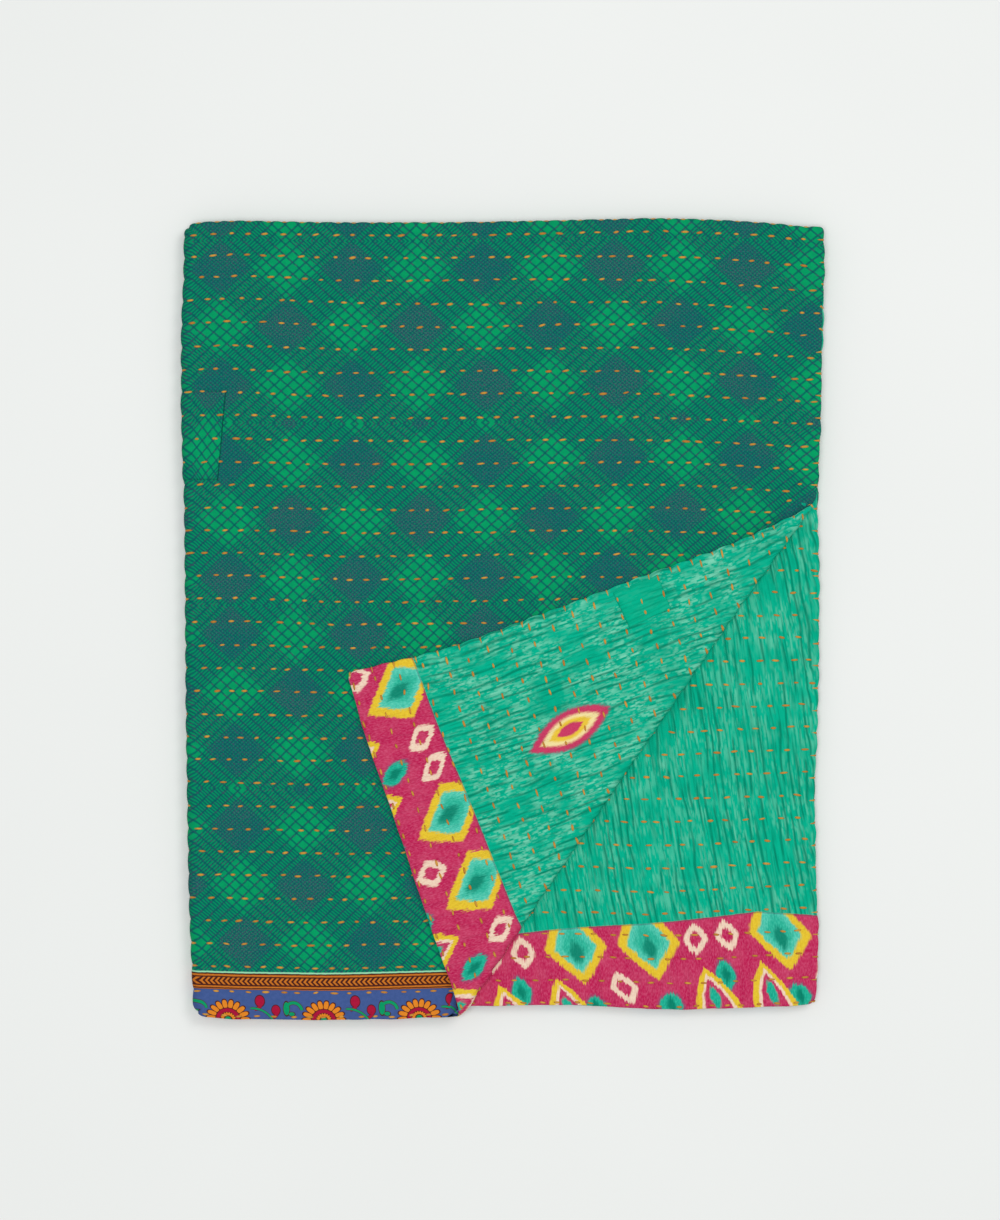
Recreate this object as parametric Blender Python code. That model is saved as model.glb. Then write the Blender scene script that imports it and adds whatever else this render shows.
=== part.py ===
"""A kantha quilt folded in quarters, with one corner of its top layer turned back.

Metres, +Z up. The quilt lies on Z = 0 with its long side along Y, its folds at the left and at the top, and
its free sides at the right and at the bottom. Its layers, from the top, are 1 (front up), 2 (reverse up),
3 (front up) and 4 (reverse up).

Each piece starts as a flat slab. There X runs from the left fold's crease, Y from the top fold's crease, and Z
is the height on the front side, from the middle of the quilt. Layer 1 has X > 0 and Y < 0, and lies there as
it does in the pile. A slab is cut where it will bend, raised between its stitch rows, given its uneven hems,
and then folded: the corner first, then the top fold, then the left fold.
"""

import math

import bmesh
import bpy
import numpy as np
from mathutils import Vector

MM = 0.001

# Points nearer than this count as one point
TOUCHING = 1e-6

# The folded quilt, between its outermost folds and straight hems
FOLDED_WIDTH = 0.4935
FOLDED_LENGTH = 0.617

# A cloth, the gap between the two cloths, and how far a cloth puffs up between two stitch rows
CLOTH = 1.0 * MM
CLOTH_GAP = 0.3 * MM
PUFF = 0.45 * MM

# Stitch rows run across the quilt, counted from each end hem
ROW_PITCH = 17.76 * MM
FIRST_ROW = 2.3 * MM
ROW_COUNT = 35

# The folds, measured to the middle of the quilt
LAYER_GAP = 0.8 * MM
QUILT_FACE = CLOTH_GAP / 2 + CLOTH
HALF_QUILT = QUILT_FACE + PUFF
TOP_RADIUS = HALF_QUILT + LAYER_GAP / 2
LEFT_RADIUS = TOP_RADIUS + HALF_QUILT + LAYER_GAP / 2
TOP_CENTRE = FOLDED_LENGTH - TOP_RADIUS - HALF_QUILT
LEFT_CENTRE = LEFT_RADIUS + TOP_RADIUS + HALF_QUILT
FLOOR_TO_MIDDLE = LEFT_RADIUS + TOP_RADIUS + QUILT_FACE
LEFT_ARC = math.pi / 2 * LEFT_RADIUS
TOP_ARC = math.pi / 2 * TOP_RADIUS
FLAT_TO_PLAN_X = LEFT_CENTRE - LEFT_ARC
FLAT_TO_PLAN_Y = TOP_CENTRE + TOP_ARC
HALF_WIDTH = FOLDED_WIDTH - FLAT_TO_PLAN_X
HALF_LENGTH = FLAT_TO_PLAN_Y
LEFT_STEPS = 3
TOP_STEPS = 2

# The turned-back corner: where its fold crosses the free side and the end hem, seen from above
FOLD_HIGH = Vector((0.4909, 0.404))
FOLD_LOW = Vector((0.2142, 0.0054))
CORNER_RADIUS = 3.6 * MM
CORNER_STEPS = 6
CORNER_REST = 2 * HALF_QUILT + 1.2 * MM
SETTLE_LENGTH = 36 * MM
SETTLE_STEPS = 3

HEM_CORNER = 5 * MM

# The patches, in the plan of layer 1 with straight hems, and how far round the left fold the first one goes
EDGE_PATCH_LOW = 0.4143
EDGE_PATCH_HIGH = 0.4824
EDGE_PATCH_REACH_LOW = 0.0275
EDGE_PATCH_REACH_HIGH = 0.0352
EDGE_PATCH_WRAP = math.radians(45)
BACK_PATCH = ((0.4600, 0.2180), (0.4895, 0.2140), (0.4905, 0.2515), (0.4630, 0.2530))

# Down the quilt, by stitch row from the end hem. In mm: how far the left fold lies in from straight, and how
# far each layer's free side reaches out. In percent: how much the pile's height rises there.
DOWN = (
    ("row", "left_fold", "side_1", "side_2", "side_3", "side_4", "rise"),
    (0, 8.5, -2.0, -5.0, -6.0, -4.0, 0.0),
    (2, 7.0, -8.0, -1.2, -4.0, -3.5, 1.5),
    (5, 4.6, -13.0, -3.4, -5.0, -3.0, -1.0),
    (9, 3.5, -14.0, -5.0, -6.0, -5.5, 2.0),
    (13, 2.4, -14.6, -2.6, -4.0, -6.0, 0.5),
    (17, 1.8, -16.0, -1.1, -3.0, -5.0, -1.5),
    (20, 1.5, -12.0, -1.9, -3.0, -4.0, 1.5),
    (23, 0.8, -2.6, -3.5, -2.0, -4.0, 2.5),
    (27, -1.2, 0.5, -2.0, -1.0, -3.0, 0.0),
    (30, -1.5, -0.3, 2.5, -1.0, -2.0, -2.0),
    (33, 1.2, 2.8, 1.5, -1.0, -2.0, 1.0),
    (34.6, 0.5, 1.2, 1.2, -2.0, -2.0, 0.0),
)

# Across the quilt, by distance from the left fold in mm: how far up the top fold lies, how far up each layer's
# end hem lies, and how much the pile's height rises there, in percent.
ACROSS = (
    ("from_fold", "top_fold", "end_1", "end_2", "end_3", "end_4", "rise"),
    (0, -2.0, 1.5, 9.0, 9.0, 1.5, 0.0),
    (25, 1.4, 0.0, 9.0, 9.0, 3.0, 1.5),
    (114, -0.3, -1.2, 9.0, 10.0, 8.0, -1.5),
    (211, -0.3, 1.5, 9.2, 12.0, 12.0, 2.0),
    (298, 1.5, 4.6, 10.5, 13.0, 14.0, -1.0),
    (372, 3.2, 8.1, 6.5, 12.0, 13.0, 2.0),
    (440, 0.6, 9.6, 7.7, 11.0, 13.0, -1.0),
    (493.5, -4.6, 14.2, 11.0, 13.0, 15.0, 1.0),
)

FINISHES = {
    "front_cloth": ((0.01, 0.33, 0.12, 1.0), 0.88),
    "back_cloth": ((0.0, 0.45, 0.26, 1.0), 0.9),
    "edge_patch": ((0.02, 0.30, 0.13, 1.0), 0.88),
    "back_patch": ((0.0, 0.36, 0.14, 1.0), 0.9),
}


def column(table, name):
    """One named column of a table."""
    place = table[0].index(name)
    return [row[place] for row in table[1:]]


def row_height(row):
    """How far a stitch row lies from its end hem."""
    return FIRST_ROW + ROW_PITCH * row


ROW_HEIGHTS = [row_height(row) for row in column(DOWN, "row")]
FROM_FOLD = [distance * MM for distance in column(ACROSS, "from_fold")]


def down(name, height):
    """A column of the table down the quilt, read at a height above the end hem."""
    return float(np.interp(height, ROW_HEIGHTS, column(DOWN, name)))


def across(name, distance):
    """A column of the table across the quilt, read at a distance from the left fold."""
    return float(np.interp(distance, FROM_FOLD, column(ACROSS, name)))


def layer_of(point):
    """The layer of the pile, from the top, that a point of the flat quilt belongs to."""
    if point.x > 0:
        return 1 if point.y < 0 else 2
    return 3 if point.y > 0 else 4


def plan(point):
    """Where a point of the flat quilt lies, seen from above, in a pile with straight hems."""
    return Vector((abs(point.x) + FLAT_TO_PLAN_X, FLAT_TO_PLAN_Y - abs(point.y)))


def corner_lines():
    """The direction towards the turned-back corner, and a point where its bend begins."""
    along = (FOLD_LOW - FOLD_HIGH).normalized()
    towards = Vector((-along.y, along.x))
    return towards, FOLD_HIGH - towards * (CORNER_RADIUS + HALF_QUILT)


TOWARDS_CORNER, BEND_START = corner_lines()


def past_bend(point):
    """How far a point lies past the line where the corner's bend begins."""
    return (plan(point) - BEND_START).dot(TOWARDS_CORNER)


def slab(outline, low, high):
    """A flat closed slab of an outline, from one height to another."""
    bm = bmesh.new()
    face = bm.faces.new([bm.verts.new((x, y, low)) for x, y in outline])
    raised = bmesh.ops.extrude_face_region(bm, geom=[face])["geom"]
    corners = [item for item in raised if isinstance(item, bmesh.types.BMVert)]
    bmesh.ops.translate(bm, verts=corners, vec=(0, 0, high - low))
    bmesh.ops.recalc_face_normals(bm, faces=bm.faces)
    return bm


def cut(bm, point, normal, faces=None):
    """Cuts all faces, or the given ones, along a plane."""
    faces = list(bm.faces) if faces is None else faces
    edges = {edge for face in faces for edge in face.edges}
    verts = {vert for face in faces for vert in face.verts}
    geom = [*verts, *edges, *faces]
    bmesh.ops.bisect_plane(bm, geom=geom, dist=TOUCHING, plane_co=point, plane_no=normal)


def cut_bends(bm):
    """Cuts a slab where the left and top folds bend it, and at the lines of both tables."""
    across_lines = [LEFT_ARC * step / LEFT_STEPS for step in range(LEFT_STEPS + 1)]
    across_lines += [distance - FLAT_TO_PLAN_X for distance in FROM_FOLD[1:-1]]
    for x in across_lines:
        cut(bm, (x, 0, 0), (1, 0, 0))
        cut(bm, (-x, 0, 0), (1, 0, 0))
    down_lines = [TOP_ARC * step / TOP_STEPS for step in range(TOP_STEPS + 1)]
    down_lines += [FLAT_TO_PLAN_Y - height for height in ROW_HEIGHTS[:-1]]
    for y in down_lines:
        cut(bm, (0, y, 0), (0, 1, 0))
        cut(bm, (0, -y, 0), (0, 1, 0))


def front_shows(face):
    """Whether a face of the front cloth's outer side lies in layer 1, or round the left fold from it."""
    middle = face.calc_center_median()
    if middle.z < 0 or middle.y > -TOP_ARC or middle.x < -LEFT_ARC * 2 / 3:
        return False
    return min(past_bend(vert.co) for vert in face.verts) < 0 or middle.x < LEFT_ARC


def back_shows(face):
    """Whether a face of the back cloth's outer side lies on the turned-back corner, or where that bares
    layer 2."""
    middle = face.calc_center_median()
    if middle.z > 0 or middle.x < LEFT_ARC or abs(middle.y) < TOP_ARC:
        return False
    return max(past_bend(vert.co) for vert in face.verts) > 0


def puff(bm, shows):
    """Raises the faces that show between one stitch row and the next."""
    puffed = bm.faces.layers.int.new("puffed")
    for face in bm.faces:
        face[puffed] = abs(face.normal.z) > 0.5 and shows(face)
    for half_row in range(2 * ROW_COUNT - 1):
        y = FLAT_TO_PLAN_Y - row_height(half_row / 2)
        for side in (-y, y):
            faces = [face for face in bm.faces if face[puffed] and spans(face, side)]
            if faces:
                cut(bm, (0, side, 0), (0, 1, 0), faces)
    for vert in bm.verts:
        sides = [face for face in vert.link_faces if abs(face.normal.z) > 0.5]
        if all(face[puffed] for face in sides):
            row = (FLAT_TO_PLAN_Y - abs(vert.co.y) - FIRST_ROW) / ROW_PITCH
            if 0 < row < ROW_COUNT - 1:
                swell = PUFF * (1 - abs(2 * (row % 1) - 1))
                vert.co.z += math.copysign(swell, vert.co.z)


def spans(face, y):
    """Whether a face reaches over a line across the quilt."""
    ys = [vert.co.y for vert in face.verts]
    return min(ys) < y - TOUCHING and max(ys) > y + TOUCHING


def shape_hems(point):
    """Moves a flat point with its layer's uneven free side and end hem."""
    layer = layer_of(point)
    place = plan(point)
    out = down(f"side_{layer}", place.y) * MM
    up = across(f"end_{layer}", place.x) * MM
    point.x += out * point.x / HALF_WIDTH
    point.y -= up * point.y / HALF_LENGTH


def cut_corner(bm):
    """Cuts layer 1 where the corner bends and settles."""
    bend = math.pi * CORNER_RADIUS
    lines = [bend * step / CORNER_STEPS for step in range(CORNER_STEPS + 1)]
    lines += [bend + SETTLE_LENGTH * (step + 1) / SETTLE_STEPS for step in range(SETTLE_STEPS)]
    for line in lines:
        start = BEND_START + TOWARDS_CORNER * line - Vector((FLAT_TO_PLAN_X, FLAT_TO_PLAN_Y))
        cut(bm, (*start, 0), (*TOWARDS_CORNER, 0))


def turn_corner(point):
    """Turns a flat point of layer 1 up and back over the corner's fold, and lets it settle."""
    past = past_bend(point)
    if layer_of(point) != 1 or past <= 0:
        return
    bend = math.pi * CORNER_RADIUS
    if past < bend:
        angle = past / CORNER_RADIUS
        reach = (CORNER_RADIUS - point.z) * math.sin(angle)
        height = CORNER_RADIUS - (CORNER_RADIUS - point.z) * math.cos(angle)
    else:
        settled = min(1, (past - bend) / SETTLE_LENGTH)
        drop = (2 * CORNER_RADIUS - CORNER_REST) * settled * settled * (3 - 2 * settled)
        reach = bend - past
        height = 2 * CORNER_RADIUS - drop - point.z
    shift = TOWARDS_CORNER * (reach - past)
    point.x += shift.x
    point.y += shift.y
    point.z = height


def wrap(along, out, radius):
    """Wraps a point round a fold: along is its distance from the crease and out its height outside the middle
    line. Gives how far it ends up behind the fold's centre, and its height."""
    half_arc = math.pi / 2 * radius
    if abs(along) > half_arc:
        return abs(along) - half_arc, math.copysign(radius + out, along)
    angle = along / radius
    return -(radius + out) * math.cos(angle), (radius + out) * math.sin(angle)


def fold(point):
    """Folds the flat quilt at the top and then at the left, and stands it on the floor."""
    behind_top, height = wrap(-point.y, point.z, TOP_RADIUS)
    behind_left, height = wrap(point.x, height, LEFT_RADIUS)
    point.x = LEFT_CENTRE + behind_left
    point.y = TOP_CENTRE - behind_top
    point.z = FLOOR_TO_MIDDLE + height


def settle(point):
    """Makes the pile's folds as uneven as a hand leaves them, and lets its height swell and sink."""
    x, y = point.x, point.y
    point.x += down("left_fold", y) * MM * (1 - x / FOLDED_WIDTH)
    point.y += across("top_fold", x) * MM * y / FOLDED_LENGTH
    point.z *= 1 + (down("rise", y) + across("rise", x)) / 100


def fold_up(bm):
    """Takes a cut slab through every fold."""
    for vert in bm.verts:
        shape_hems(vert.co)
    cut_corner(bm)
    bmesh.ops.triangulate(bm, faces=bm.faces)
    for step in (turn_corner, fold, settle):
        for vert in bm.verts:
            step(vert.co)


def finish(name):
    """The plain material of a piece."""
    colour, roughness = FINISHES[name]
    material = bpy.data.materials.new(name)
    material.use_nodes = True
    shader = material.node_tree.nodes["Principled BSDF"]
    shader.inputs["Base Color"].default_value = colour
    shader.inputs["Roughness"].default_value = roughness
    shader.inputs["Metallic"].default_value = 0.0
    return material


def add_piece(name, bm, pile):
    """Makes a folded piece an object of the pile."""
    mesh = bpy.data.meshes.new(name)
    bm.to_mesh(mesh)
    bm.free()
    mesh.materials.append(finish(name))
    piece = bpy.data.objects.new(name, mesh)
    bpy.context.collection.objects.link(piece)
    piece.parent = pile
    return piece


def full_cloth(low, high, shows):
    """A cloth the full size of the quilt, with its hem corners slightly rounded."""
    rim = [(HALF_WIDTH * a, HALF_LENGTH * b) for a, b in ((-1, -1), (1, -1), (1, 1), (-1, 1))]
    bm = slab(rim, low, high)
    corners = [edge for edge in bm.edges if abs(edge.verts[0].co.z - edge.verts[1].co.z) > CLOTH / 2]
    bmesh.ops.bevel(bm, geom=corners, offset=HEM_CORNER, segments=2, profile=0.5, affect="EDGES", material=-1)
    cut_bends(bm)
    puff(bm, shows)
    fold_up(bm)
    return bm


def patch(outline, side):
    """A patch on the front (side 1) or on the reverse (side -1), following the puffed cloth under it."""
    low = side * (QUILT_FACE + CLOTH_GAP)
    bm = slab(outline, low, low + side * CLOTH)
    cut_bends(bm)
    puff(bm, lambda face: True)
    fold_up(bm)
    return bm


def edge_patch():
    """The printed patch over the left fold."""
    round_fold = -LEFT_RADIUS * EDGE_PATCH_WRAP
    outline = (
        (round_fold, EDGE_PATCH_LOW - FLAT_TO_PLAN_Y),
        (EDGE_PATCH_REACH_LOW - FLAT_TO_PLAN_X, EDGE_PATCH_LOW - FLAT_TO_PLAN_Y),
        (EDGE_PATCH_REACH_HIGH - FLAT_TO_PLAN_X, EDGE_PATCH_HIGH - FLAT_TO_PLAN_Y),
        (round_fold, EDGE_PATCH_HIGH - FLAT_TO_PLAN_Y),
    )
    return patch(outline, 1)


def back_patch():
    """The plain patch on the reverse of the turned-back corner."""
    return patch([(x - FLAT_TO_PLAN_X, y - FLAT_TO_PLAN_Y) for x, y in BACK_PATCH], -1)


def centre(pile, pieces):
    """Puts the pile's parent so that the middle of the pile's foot is the origin."""
    points = [vert.co for piece in pieces for vert in piece.data.vertices]
    for axis in (0, 1):
        reach = [point[axis] for point in points]
        pile.location[axis] = -(min(reach) + max(reach)) / 2


def main():
    for old in list(bpy.data.objects):
        bpy.data.objects.remove(old, do_unlink=True)
    pile = bpy.data.objects.new("pile", None)
    bpy.context.collection.objects.link(pile)
    pieces = [
        add_piece("front_cloth", full_cloth(CLOTH_GAP / 2, QUILT_FACE, front_shows), pile),
        add_piece("back_cloth", full_cloth(-QUILT_FACE, -CLOTH_GAP / 2, back_shows), pile),
        add_piece("edge_patch", edge_patch(), pile),
        add_piece("back_patch", back_patch(), pile),
    ]
    centre(pile, pieces)


main()
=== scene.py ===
"""The looks of a kantha quilt: two printed cloths sewn together with rows of running stitch, folded in
quarters, with one corner of the top layer turned back.

Each cloth starts as a flat sheet, with X from the left fold's crease, Y from the top fold's crease and Z on
the front side. It is raised between its rows of stitches, crinkled, and taken through the solids' folds.
Lengths are in metres in the meshes, and in millimetres in the prints.
"""

import math

import bmesh
import bpy
import numpy as np
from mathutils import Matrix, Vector, kdtree, noise


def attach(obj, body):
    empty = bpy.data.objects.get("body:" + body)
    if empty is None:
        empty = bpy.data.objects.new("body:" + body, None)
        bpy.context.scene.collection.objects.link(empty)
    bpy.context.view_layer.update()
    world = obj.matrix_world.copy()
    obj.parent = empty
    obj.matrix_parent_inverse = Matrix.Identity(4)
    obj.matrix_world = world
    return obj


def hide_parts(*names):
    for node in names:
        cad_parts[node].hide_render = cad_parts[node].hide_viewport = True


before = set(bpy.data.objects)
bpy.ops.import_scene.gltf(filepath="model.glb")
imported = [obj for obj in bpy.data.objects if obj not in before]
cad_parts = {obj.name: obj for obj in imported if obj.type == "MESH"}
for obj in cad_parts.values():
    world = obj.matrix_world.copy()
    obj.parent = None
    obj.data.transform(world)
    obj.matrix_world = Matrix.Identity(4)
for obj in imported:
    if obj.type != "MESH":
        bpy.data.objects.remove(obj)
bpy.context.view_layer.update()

MM = 0.001

# The folded quilt, its two cloths and its rows of stitches, as the solids have them
FOLDED_WIDTH = 0.4935
FOLDED_LENGTH = 0.617
CLOTH = 1.0 * MM
CLOTH_GAP = 0.3 * MM
ROW_PITCH = 17.76 * MM
FIRST_ROW = 2.3 * MM
ROW_COUNT = 35
QUILT_FACE = CLOTH_GAP / 2 + CLOTH
HALF_QUILT = QUILT_FACE + 0.45 * MM
TOP_RADIUS = HALF_QUILT + 0.4 * MM
LEFT_RADIUS = TOP_RADIUS + HALF_QUILT + 0.4 * MM
TOP_CENTRE = FOLDED_LENGTH - TOP_RADIUS - HALF_QUILT
LEFT_CENTRE = LEFT_RADIUS + TOP_RADIUS + HALF_QUILT
FLOOR_TO_MIDDLE = LEFT_RADIUS + TOP_RADIUS + QUILT_FACE
LEFT_ARC = math.pi / 2 * LEFT_RADIUS
TOP_ARC = math.pi / 2 * TOP_RADIUS
FLAT_TO_PLAN_X = LEFT_CENTRE - LEFT_ARC
FLAT_TO_PLAN_Y = TOP_CENTRE + TOP_ARC
HALF_WIDTH = FOLDED_WIDTH - FLAT_TO_PLAN_X
HALF_LENGTH = FLAT_TO_PLAN_Y
HEM_CORNER = 5 * MM
PILE_CORNER = 11 * MM
PILE_CENTRE = (0.247015, 0.309257)

# The turned-back corner, seen from above
FOLD_HIGH = Vector((0.4909, 0.404))
FOLD_LOW = Vector((0.2142, 0.0054))
CORNER_RADIUS = 3.6 * MM
CORNER_BEND = math.pi * CORNER_RADIUS
CORNER_REST = 2 * HALF_QUILT + 1.2 * MM
SETTLE_LENGTH = 36 * MM

# The patches, in the plan of layer 1
EDGE_PATCH = ((-0.0018, 0.4143), (0.0275, 0.4143), (0.0352, 0.4824), (-0.0018, 0.4824))
BACK_PATCH = ((0.4600, 0.2180), (0.4895, 0.2140), (0.4905, 0.2515), (0.4630, 0.2530))
PATCH_RISE = 0.6 * MM
EDGE_PATCH_FLAT = (0.0365, 0.068)
BACK_PATCH_FLAT = (0.0285, 0.0365)

# Relief of the cloth, which the fine meshes show
PUFF = 0.75 * MM
HEM_ROLL = 2.6 * MM
HEM_EDGE = 0.35 * MM
SCALLOP = 1.5 * MM
SCALLOP_REACH = 14 * MM
HEM_WAVER = 0.9 * MM
WAVER_REACH = 12 * MM
WANDER = 1.6 * MM
DIMPLE = 0.32 * MM
DIMPLE_REACH = 3.0 * MM
INNER_FACE = 0.05 * MM
CORNER_BULGE = 1.3 * MM
CREST_REACH = 6 * MM
FOLD_FULLNESS = 0.6

# Steps of each cloth's coarse grid, from fold to hem
FRONT_STEPS = 26
BACK_STEPS = 44

# How far the turned-back corner reaches over layer 1, short of the free side and of the end hem
COVER_SIDE = 24 * MM
COVER_END = 14 * MM
COVER_LENGTH = 0.3

# How much the creases of layer 2 lean towards the free side, down the quilt
CREASE_LEAN = 0.15
SMOOTHING = np.linspace(-0.022, 0.022, 9)

# Stitches
STITCH_SPACING = 13.45 * MM
STITCH_LENGTH = 5.3 * MM
THREAD_WIDTH = 1.85 * MM
THREAD_HEIGHT = 1.15 * MM
STITCH_ARCH = 0.30 * MM
STITCH_MARGIN = 3.4 * MM
TOP_ROW = -0.5 * MM
HEM_LOOP_RADIUS = 1.15 * MM
HEM_LOOP_CLEAR = 0.5 * MM
HEM_LOOP_RUN = 5 * MM
HEM_LOOP_TURN = math.radians(260)

# Where the rows bend towards their places on the turned-back corner, by distance past its bend
ROWS_BEND = (-16 * MM, 2 * MM)

# The photo's height in pixels, and what one of them covers on the quilt
PHOTO_HEIGHT = 1220
PHOTO_PIXEL = 0.773 * MM

DOWN = (
    ("row", "left_fold", "side_1", "side_2", "side_3", "side_4", "rise"),
    (0, 8.5, -2.0, -5.0, -6.0, -4.0, 0.0),
    (2, 7.0, -8.0, -1.2, -4.0, -3.5, 1.5),
    (5, 4.6, -13.0, -3.4, -5.0, -3.0, -1.0),
    (9, 3.5, -14.0, -5.0, -6.0, -5.5, 2.0),
    (13, 2.4, -14.6, -2.6, -4.0, -6.0, 0.5),
    (17, 1.8, -16.0, -1.1, -3.0, -5.0, -1.5),
    (20, 1.5, -12.0, -1.9, -3.0, -4.0, 1.5),
    (23, 0.8, -2.6, -3.5, -2.0, -4.0, 2.5),
    (27, -1.2, 0.5, -2.0, -1.0, -3.0, 0.0),
    (30, -1.5, -0.3, 2.5, -1.0, -2.0, -2.0),
    (33, 1.2, 2.8, 1.5, -1.0, -2.0, 1.0),
    (34.6, 0.5, 1.2, 1.2, -2.0, -2.0, 0.0),
)
ACROSS = (
    ("from_fold", "top_fold", "end_1", "end_2", "end_3", "end_4", "rise"),
    (0, -2.0, 1.5, 9.0, 9.0, 1.5, 0.0),
    (25, 1.4, 0.0, 9.0, 9.0, 3.0, 1.5),
    (114, -0.3, -1.2, 9.0, 10.0, 8.0, -1.5),
    (211, -0.3, 1.5, 9.2, 12.0, 12.0, 2.0),
    (298, 1.5, 4.6, 10.5, 13.0, 14.0, -1.0),
    (372, 3.2, 8.1, 6.5, 12.0, 13.0, 2.0),
    (440, 0.6, 9.6, 7.7, 11.0, 13.0, -1.0),
    (493.5, -4.6, 14.2, 11.0, 13.0, 15.0, 1.0),
)

# How far the sewn rows stray up the quilt, in mm, by distance from the left fold: high and low on layer 1,
# and on layer 2
SEWING = (
    ("from_fold", "high", "low", "second"),
    (0, 2.8, 2.4, 0.0),
    (30, 2.6, 2.2, 0.0),
    (90, 1.4, 2.0, 0.0),
    (150, 0.6, 2.0, 0.0),
    (210, 0.3, 1.5, -0.3),
    (270, 0.1, 1.0, -0.3),
    (330, -1.5, 0.0, 0.2),
    (390, -3.8, -1.0, 1.8),
    (450, -5.0, -2.0, 3.8),
    (493.5, -5.0, -2.0, 4.5),
)

# The same on the turned-back corner, by height above the end hem
CORNER_SEWING = (
    ("height", "corner"),
    (0, 0.0),
    (80, 4.4),
    (140, 3.6),
    (300, 7.2),
)


def column(table, name):
    """One named column of a table."""
    place = table[0].index(name)
    return np.array([row[place] for row in table[1:]], float)


def smoothed(table, stops, name, places):
    """A column of a table at some places, with its corners softened."""
    values = column(table, name)
    return np.mean([np.interp(places + shift, stops, values) for shift in SMOOTHING], axis=0)


def down(name, heights):
    """A column of the table down the quilt, at heights above the end hem."""
    return smoothed(DOWN, FIRST_ROW + ROW_PITCH * column(DOWN, "row"), name, heights)


def across(name, distances):
    """A column of the table across the quilt, at distances from the left fold."""
    return smoothed(ACROSS, MM * column(ACROSS, "from_fold"), name, distances)


def ease(value, low, high):
    """Rises smoothly from 0 at low to 1 at high."""
    share = np.clip((value - low) / (high - low), 0, 1)
    return share * share * (3 - 2 * share)


def ripples(x, y, wide, long, seed):
    """Smooth noise, from about -1 to 1, of a given size across and along the quilt."""
    points = zip(x / wide, y / long)
    return np.array([noise.noise((a, b, seed)) for a, b in points])


def past_bend(x, y):
    """How far flat points lie past the line where the corner's bend begins, if they were in layer 1."""
    along = (FOLD_LOW - FOLD_HIGH).normalized()
    towards = Vector((-along.y, along.x))
    start = FOLD_HIGH - towards * (CORNER_RADIUS + HALF_QUILT)
    plan_x = abs(x) + FLAT_TO_PLAN_X
    plan_y = FLAT_TO_PLAN_Y - abs(y)
    return (plan_x - start.x) * towards.x + (plan_y - start.y) * towards.y, towards


def shape_hems(x, y):
    """Gives each layer its uneven free side and end hem, with the free sides drawn in at the rows."""
    plan_x = abs(x) + FLAT_TO_PLAN_X
    plan_y = FLAT_TO_PLAN_Y - abs(y)
    top = ((x > 0) & (y < 0), (x > 0) & (y >= 0), (x <= 0) & (y >= 0), (x <= 0) & (y < 0))
    out = sum(layer * down(f"side_{n}", plan_y) for n, layer in enumerate(top, 1)) * MM
    up = sum(layer * across(f"end_{n}", plan_x) for n, layer in enumerate(top, 1)) * MM
    at_side = ease(abs(x), HALF_WIDTH - SCALLOP_REACH, HALF_WIDTH)
    at_end = ease(abs(y), HALF_LENGTH - WAVER_REACH, HALF_LENGTH)
    bulge = SCALLOP * row_swell(y) * at_side * (0.9 + 0.6 * ripples(x, y, 0.3, 0.021, 18.0))
    waver = HEM_WAVER * ripples(x, y, 0.021, 0.6, 17.0) * at_end
    return x + out * x / HALF_WIDTH + np.sign(x) * bulge, y - up * y / HALF_LENGTH + waver * np.sign(y)


def turn_corner(x, y, z):
    """Turns the corner of layer 1 up and back over its fold, and lets it settle."""
    past, towards = past_bend(x, y)
    turned = (x > 0) & (y < 0) & (past > 0)
    bending = past < CORNER_BEND
    angle = past / CORNER_RADIUS
    settled = ease(past, CORNER_BEND, CORNER_BEND + SETTLE_LENGTH)
    drop = (2 * CORNER_RADIUS - CORNER_REST) * settled
    reach = np.where(bending, (CORNER_RADIUS - z) * np.sin(angle), CORNER_BEND - past)
    bent = CORNER_RADIUS - (CORNER_RADIUS - z) * np.cos(angle)
    height = np.where(bending, bent, 2 * CORNER_RADIUS - drop - z)
    on_crest = np.exp(-(((past - CORNER_BEND / 2) / CREST_REACH) ** 2)) * (x > 0) * (y < 0)
    bulge = CORNER_BULGE * (row_swell(y) - 0.5) * on_crest
    shift = np.where(turned, reach - past, 0) + bulge
    return x + shift * towards.x, y + shift * towards.y, np.where(turned, height, z)


def wrap(along, out, radius):
    """Wraps points round a fold: how far they end up behind the fold's centre, and their height."""
    half_arc = math.pi / 2 * radius
    angle = along / radius
    past = abs(along) > half_arc
    behind = np.where(past, abs(along) - half_arc, -(radius + out) * np.cos(angle))
    height = np.where(past, np.sign(along) * (radius + out), (radius + out) * np.sin(angle))
    return behind, height


def corner_pull(u, v):
    """How far a square corner's points move to round it. Both shares run from 0 to 1 towards the corner."""
    u, v = np.clip(u, 0, 1), np.clip(v, 0, 1)
    pull = np.where((u > 0) & (v > 0), 1 - np.maximum(u, v) / np.maximum(np.hypot(u, v), 1e-9), 0)
    return u * pull, v * pull


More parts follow.
